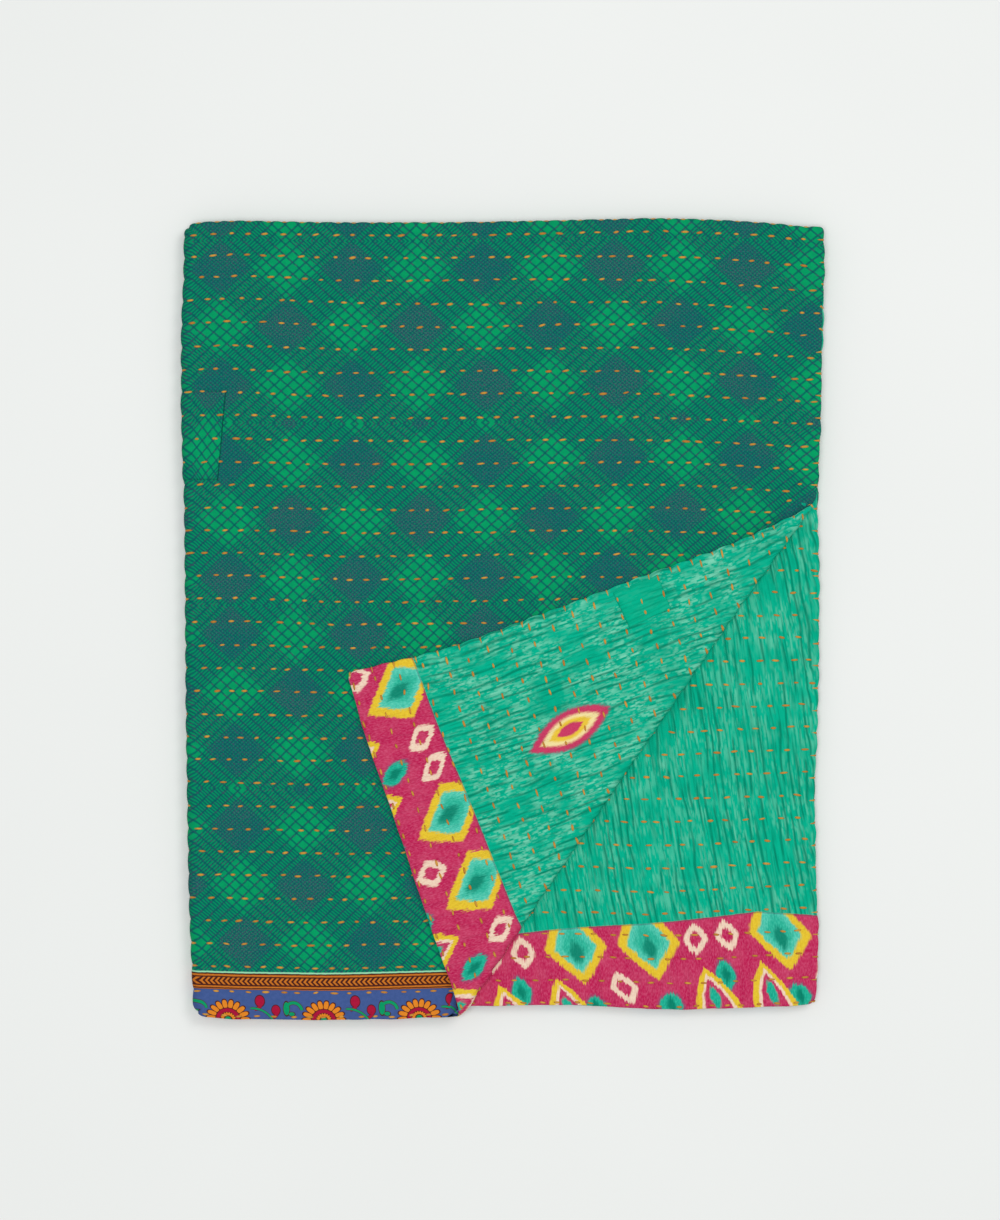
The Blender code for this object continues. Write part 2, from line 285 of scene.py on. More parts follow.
def fold_quilt(points):
    """Takes flat points through the hems' shapes, the turned corner and both folds, to where they lie."""
    x, y, z = points.T
    from_end = HALF_LENGTH - abs(y)
    x, y = shape_hems(x, y)
    x, y, z = turn_corner(x, y, z)
    behind_top, height = wrap(-y, z, TOP_RADIUS)
    behind_left, height = wrap(x, height, LEFT_RADIUS)
    x = LEFT_CENTRE + behind_left
    y = TOP_CENTRE - behind_top
    for from_hem, way in ((FOLDED_LENGTH - y, -1), (from_end, 1)):
        pull_x, pull_y = corner_pull(1 - x / PILE_CORNER, 1 - from_hem / PILE_CORNER)
        x = x + pull_x * PILE_CORNER
        y = y + pull_y * PILE_CORNER * way
    rise = 1 + (down("rise", y) + across("rise", x)) / 100
    moved_x = x + down("left_fold", y) * MM * (1 - x / FOLDED_WIDTH)
    moved_y = y + across("top_fold", x) * MM * y / FOLDED_LENGTH
    z = (FLOOR_TO_MIDDLE + height) * rise
    return np.stack([moved_x - PILE_CENTRE[0], moved_y - PILE_CENTRE[1], z], axis=1)


def row_of(y):
    """The stitch row at a flat place, with fractions between rows. A last row runs along the top crease."""
    heights = [0, *(FIRST_ROW + ROW_PITCH * np.arange(ROW_COUNT)), HALF_LENGTH]
    return np.interp(HALF_LENGTH - abs(y), heights, [0, *range(ROW_COUNT), ROW_COUNT])


def row_swell(y):
    """How full the cloth is between two stitch rows, from 0 at a row to 1 half-way."""
    return abs(np.sin(math.pi * row_of(y))) ** 0.7


def sewing(name, distances):
    """A column of the sewing table, at distances from the left fold."""
    return smoothed(SEWING, MM * column(SEWING, "from_fold"), name, distances) * MM


def wander(x, y):
    """How far the sewing strays from straight rows."""
    height = HALF_LENGTH - abs(y)
    calm = ease(height, 2 * MM, 45 * MM) * ease(abs(y), 4 * MM, 45 * MM)
    upper = ease(height, 0.22, 0.34)
    top = sewing("high", abs(x)) * upper + sewing("low", abs(x)) * (1 - upper)
    corner = smoothed(CORNER_SEWING, MM * column(CORNER_SEWING, "height"), "corner", height) * MM
    past, _ = past_bend(x, y)
    turned = ease(past, *ROWS_BEND) * (x > 0)
    first = top + (corner - top) * turned
    stray = np.where(y < 0, first, -sewing("second", abs(x)))
    return calm * (stray + WANDER * ripples(x, y, 0.11, 0.05, 3.0))


def inside(corners, x, y, soft):
    """1 inside an outline of plan corners and 0 outside, over a soft edge."""
    plan_x = x + FLAT_TO_PLAN_X
    plan_y = y + FLAT_TO_PLAN_Y
    depth = np.full(len(x), 1.0)
    for (ax, ay), (bx, by) in zip(corners, [*corners[1:], corners[0]]):
        side = Vector((bx - ax, by - ay)).normalized()
        depth = np.minimum(depth, side.x * (plan_y - ay) - side.y * (plan_x - ax))
    return ease(depth, 0, soft)


def dimple_depth(y):
    """How deep a stitch draws the cloth in: deeper in the row along the top crease."""
    return DIMPLE * (1 + 2.0 * (abs(y) < TOP_ARC))


def surface(x, y, side):
    """The height of the cloth's outer face above the quilt's middle, and how far it is crinkled there, in mm.
    Side 1 is the front and -1 the reverse."""
    swell = row_swell(y)
    if side > 0:
        under = ease(-x, -LEFT_ARC, LEFT_ARC) * (y < 0)
        crumpled = ease(x, 0.38, 0.47) * (y < 0)
        wave = 0.16 * ripples(x, y, 0.006, 0.045, 7.0) * (1 - under)
        broad = (0.18 + 0.5 * crumpled) * ripples(x, y, 0.013, 0.11, 9.0) * (1 - under)
    else:
        under = 0
        leaning = x - CREASE_LEAN * np.maximum(y, 0)
        wave = 0.30 * ripples(leaning, y, 0.0050, 0.050, 5.0)
        broad = 0.40 * ripples(leaning, y, 0.0110, 0.09, 6.0)
    depth = 0.4 + 0.6 * swell
    fold_reach = np.where(x > 0, 2.0, 0.8) * LEFT_ARC
    fullness = PUFF * (1 + FOLD_FULLNESS * ease(abs(x), fold_reach, fold_reach / 4))
    return QUILT_FACE + fullness * swell - PUFF * under + (wave + broad) * depth * MM, wave * depth


def crinkled(x, y, side):
    """The height of the cloth's outer face, crinkles and all."""
    return surface(x, y, side)[0]


def shown_from(side, x, y):
    """Where a cloth's outer face can be seen: 1 there, and 0 where it lies hidden between layers."""
    past, towards = past_bend(x, y)
    if side > 0:
        plan_x = x + FLAT_TO_PLAN_X + 2 * towards.x * (CORNER_RADIUS - past)
        plan_y = FLAT_TO_PLAN_Y + y + 2 * towards.y * (CORNER_RADIUS - past)
        covered = (plan_x < FOLDED_WIDTH - COVER_SIDE) & (plan_y > COVER_END) & (past > -COVER_LENGTH)
        return (y < TOP_ARC) & (x > -LEFT_ARC) & (past < 6 * MM) & ~covered
    return (x > LEFT_ARC) & (abs(y) > TOP_ARC / 2) & (past > -4 * MM)


def rounded_hem(x, y, height):
    """Rolls a face in towards the quilt's middle along its free sides."""
    past_x = np.clip((abs(x) - HALF_WIDTH + HEM_ROLL) / HEM_ROLL, 0, 1)
    past_y = np.clip((abs(y) - HALF_LENGTH + HEM_ROLL) / HEM_ROLL, 0, 1)
    full = np.sqrt(np.clip(1 - past_x**2 - past_y**2, 0, 1))
    return np.maximum(HEM_EDGE, height * full)


def round_corners(x, y):
    """Rounds the four corners of the flat quilt."""
    u = 1 - (HALF_WIDTH - abs(x)) / HEM_CORNER
    v = 1 - (HALF_LENGTH - abs(y)) / HEM_CORNER
    pull_x, pull_y = corner_pull(u, v)
    return x - np.sign(x) * pull_x * HEM_CORNER, y - np.sign(y) * pull_y * HEM_CORNER


def grid_lines(half, bend, edge, inner):
    """The lines of a sheet's coarse grid, from one hem to the other, with lines at its bend and its hems."""
    lines = [0, bend, *inner, half - edge, half]
    return np.array([-line for line in reversed(lines[1:])] + lines)


COARSE_ROWS = [HALF_LENGTH - FIRST_ROW - ROW_PITCH * row for row in reversed(range(1, ROW_COUNT))]
Y_LINES = grid_lines(HALF_LENGTH, TOP_ARC, FIRST_ROW, COARSE_ROWS)


def coarse_sheet(steps):
    """A closed flat sheet of the whole quilt, on a coarse grid with a number of steps from fold to hem."""
    inner = list(np.linspace(LEFT_ARC, HALF_WIDTH - HEM_ROLL, steps)[1:-1])
    x_lines = grid_lines(HALF_WIDTH, LEFT_ARC, HEM_ROLL, inner)
    bm = bmesh.new()
    columns, rows = len(x_lines) - 1, len(Y_LINES) - 1
    bmesh.ops.create_grid(bm, x_segments=columns, y_segments=rows, size=1)
    for vert in bm.verts:
        vert.co.x = x_lines[round((vert.co.x + 1) / 2 * columns)]
        vert.co.y = Y_LINES[round((vert.co.y + 1) / 2 * rows)]
    raised = bmesh.ops.extrude_face_region(bm, geom=bm.faces[:])["geom"]
    top = [item for item in raised if isinstance(item, bmesh.types.BMVert)]
    bmesh.ops.translate(bm, verts=top, vec=(0, 0, 1))
    bmesh.ops.recalc_face_normals(bm, faces=bm.faces)
    return bm


def refine(bm, wanted):
    """Halves the edges of the wanted faces."""
    faces = [face for face, want in zip(bm.faces, wanted(bm)) if want]
    edges = list({edge for face in faces for edge in face.edges})
    bmesh.ops.subdivide_edges(bm, edges=edges, cuts=1, use_grid_fill=True)


def middles(bm):
    """The middle of each face, and whether the face is on the outer side."""
    places = np.array([face.calc_center_median() for face in bm.faces])
    return places[:, 0], places[:, 1], places[:, 2] > 0.5


def mesh_points(mesh):
    """The places of a mesh's points."""
    points = np.empty(len(mesh.vertices) * 3)
    mesh.vertices.foreach_get("co", points)
    return points.reshape(-1, 3)


def set_flat_map(mesh, u, v):
    """Gives a mesh a UV map from one pair of numbers a point."""
    corners = np.empty(len(mesh.loops), int)
    mesh.loops.foreach_get("vertex_index", corners)
    flat = mesh.uv_layers.new(name="flat")
    flat.data.foreach_set("uv", np.stack([u[corners], v[corners]], axis=1).ravel())


def add_object(name, mesh):
    """Makes a smooth-shaded object of a mesh."""
    mesh.polygons.foreach_set("use_smooth", [True] * len(mesh.polygons))
    mesh.update()
    made = bpy.data.objects.new(name, mesh)
    bpy.context.collection.objects.link(made)
    return made


def from_bmesh(name, bm):
    """Turns a bmesh into a mesh of triangles."""
    bmesh.ops.triangulate(bm, faces=bm.faces)
    mesh = bpy.data.meshes.new(name)
    bm.to_mesh(mesh)
    bm.free()
    return mesh


def cloth(name, side, stitches, steps):
    """A whole cloth of the quilt, fine where it shows."""
    bm = coarse_sheet(steps)

    def bends(bm):
        x, y, _ = middles(bm)
        return (abs(x) < LEFT_ARC) | (abs(y) < TOP_ARC) | (abs(x) > HALF_WIDTH - HEM_ROLL)

    def seen(bm):
        x, y, outer = middles(bm)
        return shown_from(side, x, y) & outer

    def underside(bm):
        x, y, outer = middles(bm)
        return (x < 0) & (y < 0) & outer & (side > 0)

    refine(bm, lambda bm: bends(bm) | seen(bm) | underside(bm))
    refine(bm, lambda bm: bends(bm) | seen(bm))
    refine(bm, seen)
    refine(bm, lambda bm: bends(bm) & seen(bm))
    mesh = from_bmesh(name, bm)
    x, y, z = mesh_points(mesh).T
    outer = z > 0.5
    tree = kdtree.KDTree(len(stitches))
    for number, (sx, sy) in enumerate(stitches):
        tree.insert((sx, sy, 0), number)
    tree.balance()
    gap = np.array([tree.find((a, b, 0))[2] for a, b in zip(x, y)])
    dimple = dimple_depth(y) * np.exp(-((gap / DIMPLE_REACH) ** 2))
    height, crinkle = surface(x, y, side)
    height = rounded_hem(x, y, height - dimple)
    z = side * np.where(outer, height, INNER_FACE)
    y = y + wander(x, y)
    x, y = round_corners(x, y)
    set_flat_map(mesh, x / HALF_WIDTH / 2 + 0.5, y / HALF_LENGTH / 2 + 0.5)
    mesh.attributes.new("crinkle", "FLOAT", "POINT").data.foreach_set("value", crinkle)
    mesh.vertices.foreach_set("co", fold_quilt(np.stack([x, y, z], axis=1)).ravel())
    if side < 0:
        mesh.flip_normals()
    return add_object(name, mesh)


def patch(name, corners, side, cuts):
    """A patch sewn flat on the cloth, with its edges turned under."""
    bm = bmesh.new()
    bmesh.ops.create_grid(bm, x_segments=cuts, y_segments=cuts, size=1)
    raised = bmesh.ops.extrude_face_region(bm, geom=bm.faces[:])["geom"]
    top = [item for item in raised if isinstance(item, bmesh.types.BMVert)]
    bmesh.ops.translate(bm, verts=top, vec=(0, 0, 1))
    bmesh.ops.recalc_face_normals(bm, faces=bm.faces)
    mesh = from_bmesh(name, bm)
    u, v, outer = mesh_points(mesh).T
    rim = np.maximum(abs(u), abs(v))
    u, v = (u + 1) / 2, (v + 1) / 2
    low, high = np.array(corners[:2]), np.array([corners[3], corners[2]])
    ends = [low[0] + (low[1] - low[0]) * u[:, None], high[0] + (high[1] - high[0]) * u[:, None]]
    place = ends[0] + (ends[1] - ends[0]) * v[:, None]
    x = place[:, 0] - FLAT_TO_PLAN_X
    y = place[:, 1] - FLAT_TO_PLAN_Y
    full = 0.35 + 0.65 * np.sqrt(np.clip(1 - ease(rim, 0.88, 1.0), 0, 1))
    lift = np.where(outer > 0.5, PATCH_RISE * full, 0.1 * MM)
    height, crinkle = surface(x, y, side)
    z = side * (height + lift)
    set_flat_map(mesh, u, v)
    mesh.attributes.new("crinkle", "FLOAT", "POINT").data.foreach_set("value", crinkle)
    y = y + wander(x, y)
    mesh.vertices.foreach_set("co", fold_quilt(np.stack([x, y, z], axis=1)).ravel())
    if side < 0:
        mesh.flip_normals()
    return add_object(name, mesh)


def sew_rows(side, seed):
    """The flat places of one side's running stitches, before the rows wander: x, y pairs."""
    draw = np.random.RandomState(seed)
    places = []
    for row in range(ROW_COUNT + 1):
        distance = 0 if row == ROW_COUNT else HALF_LENGTH - FIRST_ROW - ROW_PITCH * row
        for half in (-1, 1):
            count = int(2 * HALF_WIDTH / STITCH_SPACING)
            start = draw.uniform(-0.5, 0.5)
            jitter = draw.normal(0, 0.09, count)
            x = STITCH_SPACING * (np.arange(count) - (count - 1) / 2 + start + jitter)
            y = half * distance + draw.normal(0, 0.22 * MM, count)
            if row == ROW_COUNT:
                y = np.full(count, TOP_ROW)
            if row < ROW_COUNT or half < 0:
                places += list(zip(x, y))
    places = np.array(places)
    x, y = places.T
    past, _ = past_bend(x, y)
    if side > 0:
        wanted = (y < 0) & (shown_from(1, x, y) | (x < 0))
    else:
        wanted = (x > LEFT_ARC) & (abs(y) > TOP_ARC) & (past > -3 * MM)
    return places[wanted & (abs(x) < HALF_WIDTH - STITCH_MARGIN)]


def thread_mesh(name, count):
    """Many copies of one stitch lying along X, in one mesh, copy after copy."""
    bm = bmesh.new()
    bmesh.ops.create_uvsphere(bm, u_segments=6, v_segments=6, radius=0.5)
    for vert in bm.verts:
        along, wide, tall = vert.co.z, vert.co.x, vert.co.y
        vert.co = (along, wide, tall)
    bmesh.ops.recalc_face_normals(bm, faces=bm.faces)
    stitch = bpy.data.meshes.new(name)
    bm.to_mesh(stitch)
    bm.free()
    row = bpy.data.objects.new(name, stitch)
    bpy.context.collection.objects.link(row)
    array = row.modifiers.new("row", "ARRAY")
    array.use_relative_offset = False
    array.count = count
    shown = row.evaluated_get(bpy.context.evaluated_depsgraph_get())
    mesh = bpy.data.meshes.new_from_object(shown)
    mesh.name = name
    bpy.data.objects.remove(row)
    return mesh, len(stitch.vertices)


def stitch_row(name, places, side, seed):
    """The running stitches of one side, each lying in its dimple of the cloth."""
    draw = np.random.RandomState(seed)
    count = len(places)
    mesh, points = thread_mesh(name, count)
    shape = mesh_points(mesh).reshape(count, points, 3)
    length = STITCH_LENGTH * np.clip(draw.normal(1, 0.14, (count, 1)), 0.6, 1.35)
    width = THREAD_WIDTH * np.clip(draw.normal(1, 0.1, (count, 1)), 0.75, 1.3)
    slant = np.radians(draw.normal(3, 5, (count, 1)))
    along, wide = shape[:, :, 0] * length, shape[:, :, 1] * width
    arch = STITCH_ARCH * (1 - (2 * shape[:, :, 0]) ** 2)
    tall = shape[:, :, 2] * THREAD_HEIGHT + arch
    x, y = places.T
    x, y = x[:, None], y[:, None]
    centre_height = crinkled(x[:, 0], y[:, 0], side) - dimple_depth(y[:, 0])
    centre_height += PATCH_RISE * 1.1 * patched(x[:, 0], y[:, 0], side)
    strayed = y + wander(x[:, 0], y[:, 0])[:, None]
    flat_x = x + along * np.cos(slant) - wide * np.sin(slant)
    flat_y = strayed + along * np.sin(slant) + wide * np.cos(slant)
    flat_z = side * (centre_height[:, None] + tall)
    flat = np.stack([flat_x, flat_y, flat_z], axis=2).reshape(-1, 3)
    shade = np.repeat(draw.uniform(0, 1, count), points)
    set_flat_map(mesh, shape[:, :, 0].ravel() + 0.5, shade)
    mesh.vertices.foreach_set("co", fold_quilt(flat).ravel())
    if side < 0:
        mesh.flip_normals()
    return add_object(name, mesh)


def patched(x, y, side):
    """1 where a patch lies on the cloth."""
    corners = EDGE_PATCH if side > 0 else BACK_PATCH
    return inside(corners, x, y, 1 * MM) * (y < 0)


def hem_loops(name, seed):
    """The turns of thread round the free sides, one at each row's end."""
    draw = np.random.RandomState(seed)
    rows = [HALF_LENGTH - FIRST_ROW - ROW_PITCH * row for row in range(ROW_COUNT)]
    places = np.array([(end, half * distance) for distance in rows for half in (-1, 1) for end in (-1, 1)])
    count = len(places)
    mesh, points = thread_mesh(name, count)
    shape = mesh_points(mesh).reshape(count, points, 3)
    end, y = places.T
    width = THREAD_WIDTH * 0.85 * np.clip(draw.normal(1, 0.12, (count, 1)), 0.7, 1.3)
    lean = draw.normal(0, 0.5, (count, 1)) * MM
    turn = shape[:, :, 0] * HEM_LOOP_TURN
    angle = np.clip(turn, -math.pi / 2, math.pi / 2)
    out = HEM_LOOP_RADIUS + HEM_LOOP_CLEAR + shape[:, :, 2] * THREAD_HEIGHT * 0.8
    inward = abs(turn - angle) * HEM_LOOP_RUN
    flat_x = end[:, None] * (HALF_WIDTH - HEM_LOOP_RADIUS + out * np.cos(angle) - inward)
    flat_y = y[:, None] + shape[:, :, 1] * width + lean * shape[:, :, 0] * 2
    on_floor = (end < 0) & (y < 0)
    flat_z = np.minimum(out * np.sin(angle), np.where(on_floor, QUILT_FACE, 1)[:, None])
    flat = np.stack([flat_x, flat_y, flat_z], axis=2).reshape(-1, 3)
    # The loops take only the middle of the thread's painted end shade.
    set_flat_map(mesh, shape[:, :, 0].ravel() * 0.35 + 0.5, np.repeat(draw.uniform(0, 1, count), points))
    mesh.vertices.foreach_set("co", fold_quilt(flat).ravel())
    made = add_object(name, mesh)
    bm = bmesh.new()
    bm.from_mesh(mesh)
    bmesh.ops.recalc_face_normals(bm, faces=bm.faces)
    bm.to_mesh(mesh)
    bm.free()
    return made


def srgb(red, green, blue):
    """A colour from its usual 0 to 255 numbers."""
    shares = [value / 255 for value in (red, green, blue)]
    linear = [s / 12.92 if s <= 0.04045 else ((s + 0.055) / 1.055) ** 2.4 for s in shares]
    return (*linear, 1.0)


class Wire:
    """A value, colour or vector in a finish, with which sums are written as plain expressions."""

    def __init__(self, finish, socket):
        self.finish = finish
        self.socket = socket

    def math(self, operation, *values):
        return self.finish.node("ShaderNodeMath", {"operation": operation}, values)

    def __add__(self, other):
        return self.math("ADD", self, other)

    __radd__ = __add__

    def __sub__(self, other):
        return self.math("SUBTRACT", self, other)

    def __rsub__(self, other):
        return self.math("SUBTRACT", other, self)

    def __mul__(self, other):
        return self.math("MULTIPLY", self, other)

    __rmul__ = __mul__

    def __truediv__(self, other):
        return self.math("DIVIDE", self, other)

    def __rtruediv__(self, other):
        return self.math("DIVIDE", other, self)

    def __pow__(self, other):
        return self.math("POWER", self, other)

    def __abs__(self):
        return self.math("ABSOLUTE", self)

    def __and__(self, other):
        return self.math("MINIMUM", self, other)

    def __or__(self, other):
        return self.math("MAXIMUM", self, other)

    def fade(self, low, high):
        """Runs smoothly from 0 at low to 1 at high. Low may be above high."""
        settings = {"interpolation_type": "SMOOTHSTEP"}
        values = {"Value": self, "From Min": low, "From Max": high}
        return self.finish.node("ShaderNodeMapRange", settings, values)

    def near(self, repeat):
        """How far the value is from the nearest whole number of repeats, as a share of one repeat."""
        return abs(self.math("WRAP", self / repeat, 0.5, -0.5))

    def within(self, repeat):
        """The value brought within half a repeat either side of 0."""
        return self.math("WRAP", self, repeat / 2, -repeat / 2)


class Finish:
    """A material built from nodes."""

    def __init__(self, name, roughness, sheen=0.0, specular=0.06):
        self.material = bpy.data.materials.new(name)
        self.material.use_nodes = True
        self.tree = self.material.node_tree
        self.shader = self.tree.nodes["Principled BSDF"]
        self.shader.inputs["Roughness"].default_value = roughness
        self.shader.inputs["Sheen Weight"].default_value = sheen
        self.shader.inputs["Sheen Roughness"].default_value = 0.4
        self.shader.inputs["Specular IOR Level"].default_value = specular

    def node(self, kind, settings=None, values=(), output=0):
        """Adds a node: its settings first, then its sockets' values or links. Gives one of its outputs."""
        made = self.tree.nodes.new(kind)
        for name, setting in (settings or {}).items():
            setattr(made, name, setting)
        for place, value in values.items() if isinstance(values, dict) else enumerate(values):
            if isinstance(value, Wire):
                self.tree.links.new(value.socket, made.inputs[place])
            else:
                made.inputs[place].default_value = value
        return Wire(self, made.outputs[output])

    def flat(self, width, length):
        """Millimetres across and along a flat cloth, from its middle."""
        place = self.node("ShaderNodeTexCoord", output="UV")
        split = self.node("ShaderNodeSeparateXYZ", values=[place])
        u, v = (Wire(self, socket) for socket in list(split.socket.node.outputs)[:2])
        return (u - 0.5) * (width / MM), (v - 0.5) * (length / MM)

    def grain(self, x, y, wide, long, detail=2.0, seed=0.0):
        """Noise from 0 to 1 of a given size in millimetres, across and along."""
        place = self.node("ShaderNodeCombineXYZ", values=[x / wide, y / long, seed])
        return self.node("ShaderNodeTexNoise", values={"Vector": place, "Scale": 1.0, "Detail": detail})

    def mix(self, share, first, second):
        """The first colour where share is 0, and the second where it is 1."""
        settings = {"data_type": "RGBA"}
        return self.node("ShaderNodeMix", settings, {0: share, 6: first, 7: second}, output=2)

    def bump(self, height, distance):
        """Raises the surface by a height times a distance."""
        values = {"Strength": 1.0, "Distance": distance, "Height": height}
        self.connect("Normal", self.node("ShaderNodeBump", values=values))

    def connect(self, name, wire):
        """Links a wire to one of the shader's sockets."""
        self.tree.links.new(wire.socket, self.shader.inputs[name])


WARP_PITCH = 0.62
WEFT_PITCH = 0.58
WEAVE_DEPTH = 0.12 * MM


def weave(finish, x, y):
    """The height of a plain cotton weave with uneven threads."""
    warp = x.math("SINE", x * (2 * math.pi / WARP_PITCH))
    weft = y.math("SINE", y * (2 * math.pi / WEFT_PITCH))
    uneven = finish.grain(x, y, 0.5, 2.4, seed=4.0) + finish.grain(x, y, 2.6, 0.5)
    return warp * weft * 0.25 + uneven * 0.6


def check_print(finish, x, y, lines):
    """A fine check on the bias: two families of lines, each close together and then wide apart in turn.
    Where both are close, the ground is darker and speckled."""
    stray = finish.grain(x, y, 7, 7, 1.0, 2.0) * 0.9 / 67
    places = [family + stray for family in lines]
    close = [place.near(1).fade(0.235, 0.265) for place in places]
    shades = [place.near(1).fade(0.16, 0.34) for place in places]
    middle = shades[0] * shades[1]
    ground = finish.mix(finish.grain(x, y, 22, 26), srgb(0, 146, 88), srgb(0, 162, 100))
    colour = finish.mix((shades[0] | shades[1]) * 0.5, ground, srgb(0, 118, 88))
    colour = finish.mix(middle.fade(0.3, 0.95) * 0.5, colour, srgb(16, 98, 94))
    cells = finish.grain(x, y, 5.5, 5.5, 2.0, 12.0).fade(0.40, 0.66) * 0.32
    colour = finish.mix(cells, colour, srgb(0, 124, 88))
    fine = finish.grain(x, y, 1.2, 1.2, 3.0).fade(0.35, 0.75) * 0.3
    colour = finish.mix(fine, colour, srgb(6, 128, 92))
    inks = ((srgb(0, 86, 88), srgb(26, 72, 92)), (srgb(4, 80, 86), srgb(52, 70, 90)))
    for number, (place, dense, pair) in enumerate(zip(places, close, inks)):
        open_line = place.near(1 / 10).fade(0.16, 0.05)
        close_line = place.near(1 / 30).fade(0.34, 0.20)
        drawn = open_line * (1 - dense) + close_line * dense
        wear_and_shade = 0.98 - 0.4 * finish.grain(x, y, 1.5, 1.5, 2.0, 5.0 + number)
        specks = finish.grain(x, y, 2.2, 2.2, 2.0, 8.0 + number).fade(0.48, 0.62)
        ink = finish.mix(specks, *pair)
        colour = finish.mix(drawn * wear_and_shade, colour, ink)
    speckle = finish.grain(x, y, 1.1, 1.1, 2.0, 11.0).fade(0.48, 0.62) * middle.fade(0.35, 0.9)
    patchy = finish.grain(x, y, 55, 55, 1.0, 14.0).fade(0.4, 0.6)
    speckle_ink = finish.mix(patchy, srgb(36, 98, 110), srgb(78, 92, 106))
    return finish.mix(speckle * 0.5, colour, speckle_ink)


def bias_lines(x, height):
    """The places, in repeats, in the two families of bias lines."""
    start = 37.1
    repeat = 282.2
    mirrored = (height - start).near(repeat) * repeat
    slant = x - 87.6 + (height - 339) * 0.03
    across_part = slant / 101.3
    down_part = (mirrored - 21.3) / 90.4
    return across_part + down_part, across_part - down_part


def band(height, low, high, soft=0.25):
    """1 between two heights."""
    return height.fade(low - soft, low + soft) * height.fade(high + soft, high - soft)


def front_print():
    """Green bias check, with a border of chevrons and half flowers along each end hem."""
    finish = Finish("front_print", roughness=0.86)
    x, y = finish.flat(2 * HALF_WIDTH, 2 * HALF_LENGTH)
    x = x + FLAT_TO_PLAN_X / MM
    height = HALF_LENGTH / MM - abs(y)
    colour = check_print(finish, x, height, bias_lines(x, height))
    dark = srgb(72, 30, 26)
    orange = finish.mix(finish.grain(x, y, 1.5, 1.5), srgb(208, 116, 32), srgb(230, 142, 42))
    burnt = finish.mix(finish.grain(x, y, 1.5, 1.5), srgb(182, 98, 30), srgb(208, 124, 40))
    blot = finish.grain(x, y, 3, 3, 3.0, 1.0)
    edge = height + (blot - 0.5) * 0.7

    colour = finish.mix(band(edge, 35.4, 36.6), colour, srgb(150, 212, 172))
    colour = finish.mix(edge.fade(35.6, 35.2), colour, dark)
    for low, high in ((33.0, 34.3), (24.2, 25.4), (22.9, 23.3)):
        colour = finish.mix(band(edge, low, high), colour, burnt)
    chevron = (x - abs(edge - 29.3)).near(3.9).fade(0.30, 0.19)
    colour = finish.mix(band(edge, 26.6, 32.0) * chevron, colour, burnt)

    ground = finish.mix(blot, srgb(52, 78, 130), srgb(72, 94, 152))
    colour = finish.mix(edge.fade(22.9, 22.4), colour, ground)
    below = edge.fade(22.4, 21.9)
    colour = border_flowers(finish, colour, below, x, height, orange, dark)
    finish.connect("Base Color", colour)
    finish.bump(weave(finish, x, y), WEAVE_DEPTH)
    return finish.material


def border_flowers(finish, colour, below, x, height, orange, dark):
    """Half flowers along the hem, with drops, a stem and a curled leaf between them."""
    crimson = finish.mix(finish.grain(x, height, 2, 2), srgb(150, 14, 50), srgb(176, 26, 62))
    green = finish.mix(finish.grain(x, height, 2, 2), srgb(0, 136, 88), srgb(14, 158, 104))
    repeat = 75.6
    flower_at = 28.0
    petal_count = 18

    def paint(mask, ink):
        nonlocal colour
        colour = finish.mix(mask & below, colour, ink)

    def place(du, dv):
        return (x - (flower_at + du)).within(repeat), height - dv

    def blob(du, dv, wide, tall):
        u, v = place(du, dv)
        return ((u / wide) ** 2 + (v / tall) ** 2) ** 0.5

    def stroke(du, dv, radius, thick, low, high):
        """How far outside an arc of a ring, drawn from one angle to another, and where it is drawn."""
        u, v = place(du, dv)
        off = abs((u * u + v * v) ** 0.5 - radius)
        angle = v.math("ARCTAN2", v, u)
        return off - thick, band(angle, low, high, 0.08)

    u, v = place(0, 0)
    v = v * 1.15
    radius = (u * u + v * v) ** 0.5
    turns = v.math("ARCTAN2", v, u) * (petal_count / (2 * math.pi))
    lateral = turns.math("WRAP", turns, 0.5, -0.5) * radius * (2 * math.pi / petal_count)
    petal = (abs(lateral / 2.05) ** 2.6 + abs((radius - 13.3) / 3.9) ** 2.6) ** 0.385
    paint(petal.fade(1.26, 1.16), dark)
    paint(petal.fade(0.98, 0.86), orange)
    paint(radius.fade(10.2, 9.9), dark)
    paint(radius.fade(9.6, 9.2), crimson)
    paint(radius.fade(6.6, 6.2), dark)
    seeds = ((lateral / 0.9) ** 2 + ((radius - 4.7) / 1.6) ** 2) ** 0.5
    paint(seeds.fade(1.0, 0.8), orange)
    paint(radius.fade(2.6, 2.2), green)

    for du, dv, wide, tall in ((25.5, 14.2, 3.7, 4.3), (38.0, 7.4, 3.3, 3.8)):
        head = blob(du, dv, wide, tall)
        off, reach = stroke(du - 4.6, dv - 0.4, 6.0, 1.1, -1.5, 0.0)
        paint(head.fade(1.18, 1.10) | off.fade(0.5, 0.2) * reach, dark)
        paint(head.fade(1.0, 0.92) | off.fade(0.1, -0.2) * reach, crimson)
    off, reach = stroke(19.5, -10.0, 18.5, 0.75, 0.45, 1.65)
    paint(off.fade(0.5, 0.2) * reach, dark)
    paint(off.fade(0.15, -0.15) * reach, green)
    off, reach = stroke(52.0, 6.6, 6.6, 1.2, 0.15, 3.3)
    heel = blob(46.4, 8.6, 2.6, 5.6)
    hook = blob(50.4, 4.4, 2.6, 1.7)
    paint(off.fade(0.5, 0.2) * reach | heel.fade(1.15, 1.05) | hook.fade(1.25, 1.1), dark)
    paint(off.fade(0.1, -0.2) * reach | heel.fade(0.95, 0.85) | hook.fade(0.95, 0.8), green)
    return colour


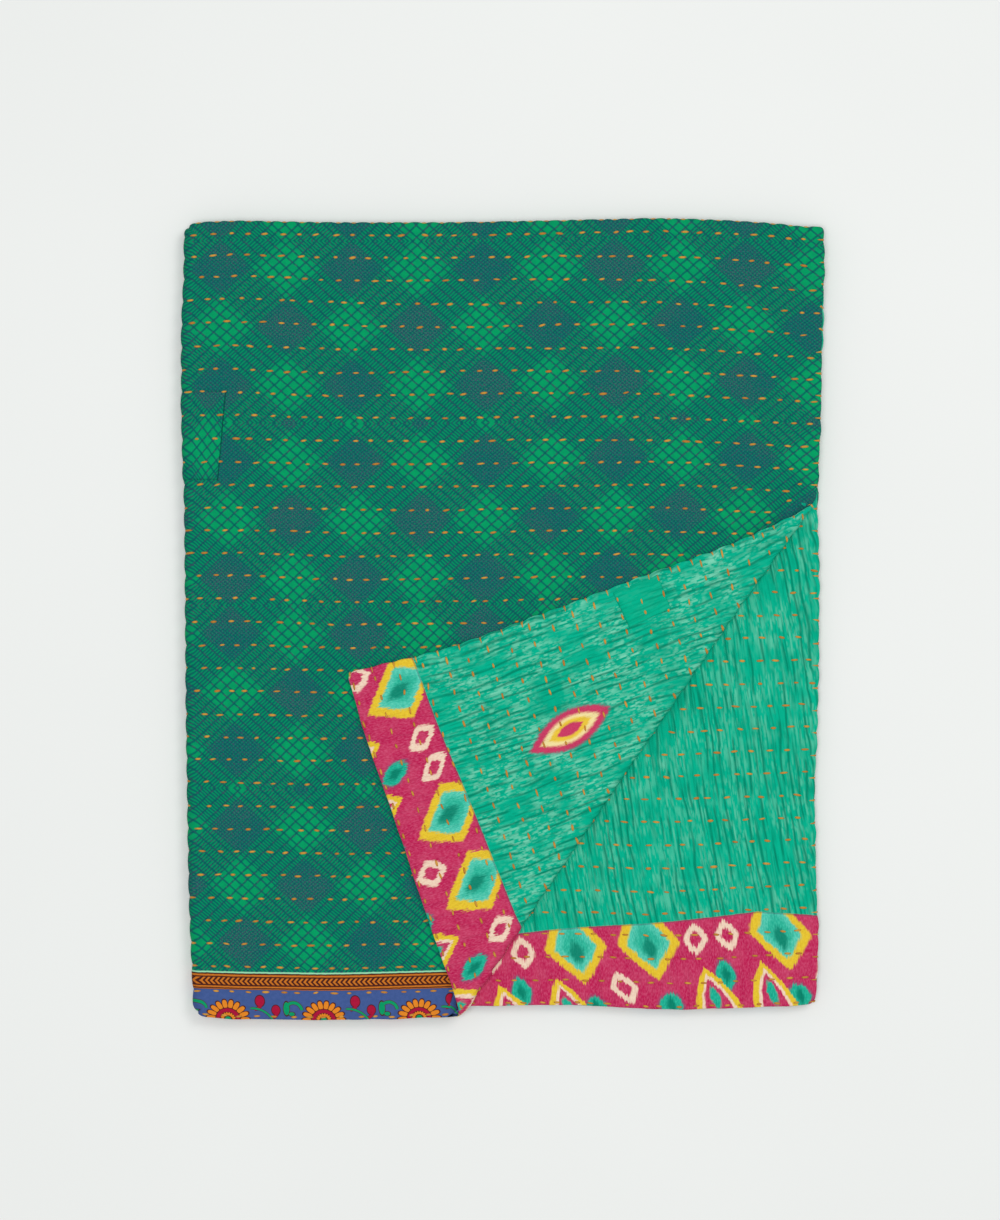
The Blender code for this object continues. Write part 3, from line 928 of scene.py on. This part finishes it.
def slubs(finish, x, y, width, length, seed):
    """Noise from 0 to 1 that differs from thread to thread and runs along each one."""
    bent = x + (finish.grain(x, y, 16, 40, 1.0, seed) - 0.5) * 3
    thread_number = bent.math("FLOOR", bent / width)
    return finish.grain(thread_number, y, 0.27, length, 1.0, seed)


def creases(finish, x, y, spacing, length, seed):
    """Thin creases along the cloth, from 0 between them to 1 in the middle of one."""
    place = (x + (finish.grain(x, y, 20, 55, 1.0, seed) - 0.5) * 9) / spacing
    number = place.math("ROUND", place)
    there = finish.grain(number, y, 0.27, length, 1.0, seed + 0.5)
    return abs(place - number).fade(0.25, 0.02) * there.fade(0.43, 0.56)


def crinkles(finish, x, y):
    """Long creases and shorter, closer ones between them."""
    return creases(finish, x, y, 5.4, 46, 21.0) | creases(finish, x, y, 3.1, 24, 23.0) * 0.5


def teal_cloth(finish, x, y, crease, stretch, pale_share):
    """Teal cotton, faded in patches, paler on its ridges partly from fading and partly as painted highlight,
    and with painted shade down in its creases and hollows.
    """
    crinkle = finish.node("ShaderNodeAttribute", {"attribute_name": "crinkle"}, output="Fac")
    along = y / stretch
    colour = finish.mix(finish.grain(x, y, 30, 30), srgb(0, 164, 130), srgb(0, 178, 142))
    faded = finish.grain(x, y, 22, 30, 2.0, 3.0).fade(0.36, 0.60)
    # Partly painted highlight: the crests of the crinkled relief are made paler, along with real fading of
    # the cloth.
    crest_fade_and_highlight = crinkle.fade(-0.05, 0.22)
    thick = slubs(finish, x, along, 1.45, 8.5, 1.0).fade(0.47, 0.60)
    thin = slubs(finish, x, along, 0.8, 5.0, 6.0).fade(0.54, 0.66)
    pale = (thick * 0.85 | thin * 0.7) * (faded * 0.65 + crest_fade_and_highlight * 0.5) * pale_share
    colour = finish.mix(pale, colour, srgb(126, 208, 178))
    dark = slubs(finish, x, along, 1.1, 12.0, 2.0).fade(0.52, 0.66) * (0.5 - faded * 0.25)
    colour = finish.mix(dark, colour, srgb(0, 140, 108))
    # Painted shade: darker teal down in the creases and in the hollows of the crinkled relief.
    painted_crease_shade = crinkle.fade(-0.04, -0.24) * 0.35 | crease * 0.8
    return finish.mix(painted_crease_shade, colour, srgb(0, 122, 94))


def pink_band(finish, colour, x, y, height):
    """A crimson-pink band along the hem, with soft-edged figures like those of tied and dyed yarn. They lean
    one way along one hem and the other way along the other."""
    yellow = finish.mix(finish.grain(x, height, 1.6, 2.2, 3.0, 2.0), srgb(206, 162, 34), srgb(238, 212, 62))
    cream = finish.mix(finish.grain(x, height, 1.4, 2.4, 3.0, 3.0), srgb(220, 170, 154), srgb(244, 232, 204))
    mottle = finish.grain(x, height, 1.0, 2.6, 4.0, 4.0).fade(0.35, 0.75)
    faded = finish.grain(x, height, 12, 16, 3.0, 5.0).fade(0.35, 0.8)
    pink = finish.mix(mottle, srgb(180, 22, 76), srgb(200, 74, 112))
    pink = finish.mix(faded * 0.35, pink, srgb(212, 96, 126))
    light_teal = finish.mix(mottle, srgb(66, 188, 164), srgb(104, 208, 184))
    blob_teal = finish.mix(mottle, srgb(20, 162, 134), srgb(50, 188, 158))
    deep_teal = srgb(0, 118, 96)
    first = y.fade(0.5, -0.5)
    second_level = height - (x - 310) * 0.1 + (x - 447).math("MAXIMUM", x - 447, 0) * 0.2
    first_level = height + (x - 303) * 0.06 - 3.3
    level = second_level + (first_level - second_level) * first
    leaning_x = x - (level - 33.5) * first * 0.72
    threads = finish.grain(x, height, 1.25, 30, 2.0, 7.0) - 0.5
    steps = finish.grain(x, height, 2.2, 2.2, 2.0, 10.0) - 0.5
    drift = finish.grain(x, height, 7, 7, 1.0, 8.0) - 0.5
    shifted = level + threads * 9.0 + steps * 3.0
    picture = pink
    repeat = 161.0

    def paint(mask, ink):
        nonlocal picture
        picture = finish.mix(mask, picture, ink)

    def local(centre, middle, lean):
        u = (leaning_x - centre).within(repeat) + (level - middle) * lean
        return u + drift * 3.0 + steps * 1.6, shifted - middle

    def oval(u, v, wide, tall, power):
        """The size of a rounded diamond through a point, where 1 is its outline."""
        return (abs(u / wide) ** power + abs(v / tall) ** power) ** (1 / power)

    for centre in (303.0, 360.5):
        u, v = local(centre, 46.0, 0.29)
        tall = v.fade(-3, 3) * (8 - first * 12) + first * 4 + 28
        size = oval(u, v, 23.5, tall, 1.1)
        paint(size.fade(1.08, 0.98), yellow)
        paint(size.fade(0.78, 0.66), light_teal)
        paint(size.fade(0.62, 0.34) * 0.8, blob_teal)
        paint(oval(u, v + 4, 6.0, 11.0, 1.4).fade(1.2, 0.5) * 0.8, deep_teal)
    for centre, middle, wide, tall, lean in (
        (397.5, 46.0, 9.4, 12.4, 0.10),
        (422.5, 46.0, 9.4, 12.4, 0.22),
        (342.0, 12.5, 10.6, 12.6, 0.55),
    ):
        u, v = local(centre, middle, lean)
        size = oval(u, v, wide, tall, 1.3)
        paint(size.fade(1.10, 0.92) * size.fade(0.44, 0.60), cream)
    for centre, middle, cut, wide, tall in (
        (422.0, 15.5, 0, 7.6, 11.8),
        (321.0, -2.5, 7, 8.5, 9.5),
        (380.0, -3.5, 7, 9.5, 9.5),
    ):
        u, v = local(centre, middle - first * cut, 0.3)
        size = oval(u, v, wide, tall, 1.6)
        paint(size.fade(1.32, 0.95) * 0.65, srgb(92, 88, 118))
        paint(size.fade(1.08, 0.90), blob_teal)
        paint(oval(u, v, 4.4, 9.5, 1.3).fade(1.1, 0.4) * 0.85, deep_teal)
    for centre in (405.0, 450.0):
        u, v = local(centre, 21.5 - 9.5 * first, 0.42)
        inward = v * (-0.86 - v * 0.011) + 1.2 - abs(u)
        paint(inward.fade(-0.8, 0.5), yellow)
        paint(inward.fade(3.6, 5.0), cream)
        paint(inward.fade(6.2, 7.6), pink)
        core = oval(u, v + 23, 4.2, 9.5, 1.6)
        paint(core.fade(1.15, 0.8) * inward.fade(3.0, 5.0), blob_teal)
    edge = level + steps * 0.9
    picture = finish.mix(band(edge, 60.6, 62.0, 0.5) * 0.45, picture, srgb(70, 70, 84))
    return finish.mix(edge.fade(62.0, 61.4), colour, picture)


def eye_figure(finish, colour, x, y, height):
    """One dyed eye on the turned-back corner, its long axis up the cloth."""
    u = x - 400.8
    v = height - 153.1
    long = v * 0.986 + u * 0.168 - 1.0
    wide = u * 0.986 - v * 0.168
    threads = finish.grain(x, y, 1.25, 30, 2.0, 9.0) - 0.5
    ragged = (finish.grain(x, y, 1.6, 2.0, 2.0, 13.0) - 0.5) * 0.26
    long = long + threads * 6.0
    crimson = finish.mix(finish.grain(x, y, 1.2, 1.2), srgb(182, 34, 78), srgb(208, 76, 112))
    rings = (
        (36.5, 14.8, 0.16, srgb(112, 84, 104)),
        (35.5, 14.0, 0.10, crimson),
        (26.5, 9.6, 0.18, srgb(236, 218, 156)),
        (19.0, 7.2, 0.20, srgb(228, 192, 60)),
        (11.5, 4.4, 0.22, crimson),
    )
    there = y.fade(0.5, -0.5)
    for half_length, half_width, soft, ink in rings:
        size = (long / half_length) ** 2 + abs(wide) / half_width + ragged
        colour = finish.mix(size.fade(1 + soft, 1 - soft) * there, colour, ink)
    return colour


def reverse_print():
    """Teal cotton with a dyed band along each end hem."""
    finish = Finish("reverse_print", roughness=0.88)
    x, y = finish.flat(2 * HALF_WIDTH, 2 * HALF_LENGTH)
    x = x + FLAT_TO_PLAN_X / MM
    height = HALF_LENGTH / MM - abs(y)
    on_corner = y.fade(0.5, -0.5)
    leaning = x - y.math("MAXIMUM", y, 0) * CREASE_LEAN
    crease = crinkles(finish, leaning, y)
    colour = teal_cloth(finish, leaning, y, crease, 1.8 - 0.8 * on_corner, 0.55 + 0.5 * on_corner)
    colour = eye_figure(finish, colour, x, y, height)
    colour = pink_band(finish, colour, x, y, height)
    finish.connect("Base Color", colour)
    finish.bump(weave(finish, x, y) - crease * 3.5, WEAVE_DEPTH)
    return finish.material


def patch_print():
    """The same green check, cut from another part of the cloth and turned, with a painted shadow along its
    right edge.
    """
    finish = Finish("patch_print", roughness=0.86)
    x, y = finish.flat(*EDGE_PATCH_FLAT)
    colour = check_print(finish, x, y, bias_lines(y + 104, x + 52.4))
    # Painted shadow: a dark band along the patch's right edge, where its stitched edge sinks into the cloth.
    edge = EDGE_PATCH_FLAT[0] / MM / 2 - x
    colour = finish.mix(edge.fade(1.3, 0.5) * 0.75, colour, srgb(0, 62, 56))
    finish.connect("Base Color", colour)
    finish.bump(weave(finish, x, y), WEAVE_DEPTH)
    return finish.material


def patch_plain():
    """Teal cotton with hardly any fading."""
    finish = Finish("patch_plain", roughness=0.88)
    x, y = finish.flat(*BACK_PATCH_FLAT)
    crease = crinkles(finish, x, y)
    colour = teal_cloth(finish, x, y, crease, 1.0, 0.12)
    finish.connect("Base Color", finish.mix(0.35, colour, srgb(0, 170, 128)))
    finish.bump(weave(finish, x, y) - crease * 1.5, WEAVE_DEPTH)
    return finish.material


def thread():
    """Orange cotton thread, with a twist, some fading from stitch to stitch, and painted shade towards each
    stitch's ends that leaves a lighter core like a sheen.
    """
    finish = Finish("thread", roughness=0.7, sheen=0.15, specular=0.3)
    along, shade = finish.flat(STITCH_LENGTH, 1.0 * MM)
    colour = finish.mix(shade + 0.5, srgb(178, 116, 34), srgb(204, 150, 54))
    # Painted shade: each stitch darkens towards its ends, where it dips into the cloth, leaving a lighter
    # core like a sheen.
    wear_and_shade = abs(along).fade(0.9, 2.5)
    colour = finish.mix(wear_and_shade * 0.75, colour, srgb(144, 84, 38))
    finish.connect("Base Color", colour)
    place = finish.node("ShaderNodeTexCoord", output="Object")
    strands = finish.node("ShaderNodeTexNoise", values={"Vector": place, "Scale": 2600.0, "Detail": 2.0})
    finish.bump(strands, 0.15 * MM)
    return finish.material


def floor_finish():
    """A pale matt backdrop, with the faintest unevenness."""
    finish = Finish("floor", roughness=0.95, specular=0.1)
    place = finish.node("ShaderNodeTexCoord", output="Object")
    cloudy = finish.node("ShaderNodeTexNoise", values={"Vector": place, "Scale": 3.0, "Detail": 2.0})
    finish.connect("Base Color", finish.mix(cloudy, srgb(227, 229, 227), srgb(231, 233, 231)))
    return finish.material


def light(name, place, target, size, power, colour):
    """A square soft light aimed at a point."""
    lamp = bpy.data.lights.new(name, "AREA")
    lamp.shape = "SQUARE"
    lamp.size = size
    lamp.energy = power
    lamp.color = colour
    made = bpy.data.objects.new(name, lamp)
    made.location = place
    made.rotation_euler = (Vector(target) - Vector(place)).to_track_quat("-Z", "Y").to_euler()
    bpy.context.collection.objects.link(made)


def studio():
    """The floor, the soft lights and the camera straight above."""
    bm = bmesh.new()
    bmesh.ops.create_grid(bm, x_segments=8, y_segments=8, size=2.2)
    mesh = bpy.data.meshes.new("floor")
    bm.to_mesh(mesh)
    bm.free()
    floor = bpy.data.objects.new("floor", mesh)
    bpy.context.collection.objects.link(floor)
    mesh.materials.append(floor_finish())

    light("key", (2.0, 1.7, 3.2), (0, 0, 0), 1.6, 42, (1.0, 0.995, 0.985))
    light("overhead", (-0.3, -0.2, 3.4), (0, 0, 0), 1.6, 53, (0.985, 0.995, 1.0))
    world = bpy.data.worlds.new("studio")
    world.use_nodes = True
    world.node_tree.nodes["Background"].inputs["Color"].default_value = (1, 1, 1, 1)
    world.node_tree.nodes["Background"].inputs["Strength"].default_value = 0.5
    bpy.context.scene.world = world
    bpy.context.scene.view_settings.view_transform = "Standard"

    view_height = PHOTO_HEIGHT * PHOTO_PIXEL
    camera = bpy.data.cameras.new("camera")
    camera.sensor_width = 36
    camera.lens = 95
    top_of_quilt = 0.015
    distance = view_height * camera.lens / camera.sensor_width
    made = bpy.data.objects.new("camera", camera)
    made.location = (-0.0012, 0.0069, top_of_quilt + distance)
    bpy.context.collection.objects.link(made)
    bpy.context.scene.camera = made


def dress(piece, finish):
    """Gives a piece its finish and lets it ride with the quilt."""
    piece.data.materials.clear()
    piece.data.materials.append(finish)
    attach(piece, "root")


def main():
    studio()
    front_places = sew_rows(1, 11)
    back_places = sew_rows(-1, 12)
    front = cloth("front_cloth_sheet", 1, front_places, FRONT_STEPS)
    back = cloth("back_cloth_sheet", -1, back_places, BACK_STEPS)
    edge = patch("edge_patch_sheet", EDGE_PATCH, 1, 30)
    plain = patch("back_patch_sheet", BACK_PATCH, -1, 26)
    front_stitches = stitch_row("front_stitches", front_places, 1, 21)
    back_stitches = stitch_row("back_stitches", back_places, -1, 22)
    loops = hem_loops("hem_loops", 23)

    dress(front, front_print())
    dress(back, reverse_print())
    dress(edge, patch_print())
    dress(plain, patch_plain())
    yarn = thread()
    for piece in (front_stitches, back_stitches, loops):
        dress(piece, yarn)

    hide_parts("front_cloth")
    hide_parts("back_cloth")
    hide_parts("edge_patch")
    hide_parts("back_patch")
    whole = (2 * HALF_WIDTH, 2 * HALF_LENGTH)


main()
